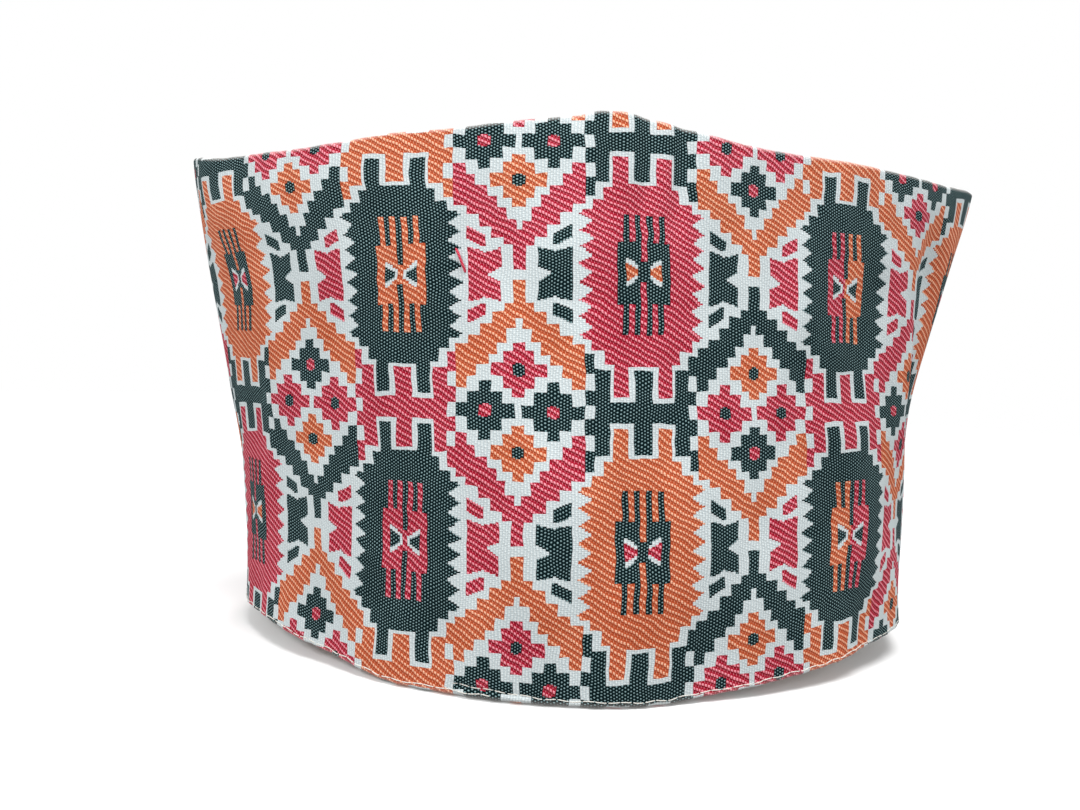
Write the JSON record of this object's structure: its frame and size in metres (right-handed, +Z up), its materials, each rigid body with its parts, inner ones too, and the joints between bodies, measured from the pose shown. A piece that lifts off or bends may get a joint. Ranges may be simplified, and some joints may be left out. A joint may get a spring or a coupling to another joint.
{
  "type": "dhaka topi",
  "caption": "Soft woven cap with a tall patterned band, an oval rim and a creased crown that comes to a point at front and back.",
  "frame": {"origin": "centre of the bounding box on the plane that the rim rests on", "axes": "+Z up through the crown, +X towards the back crease along the cap's length, -X the front, +Y the far side"},
  "size_m": [0.2293, 0.1516, 0.1371],
  "materials": {
    "band_cloth": "matte woven",
    "crown_cloth": "matte woven"
  },
  "bodies": {
    "root": {"side_band": "band_cloth", "crown_top": "crown_cloth"}
  },
  "joints": []
}
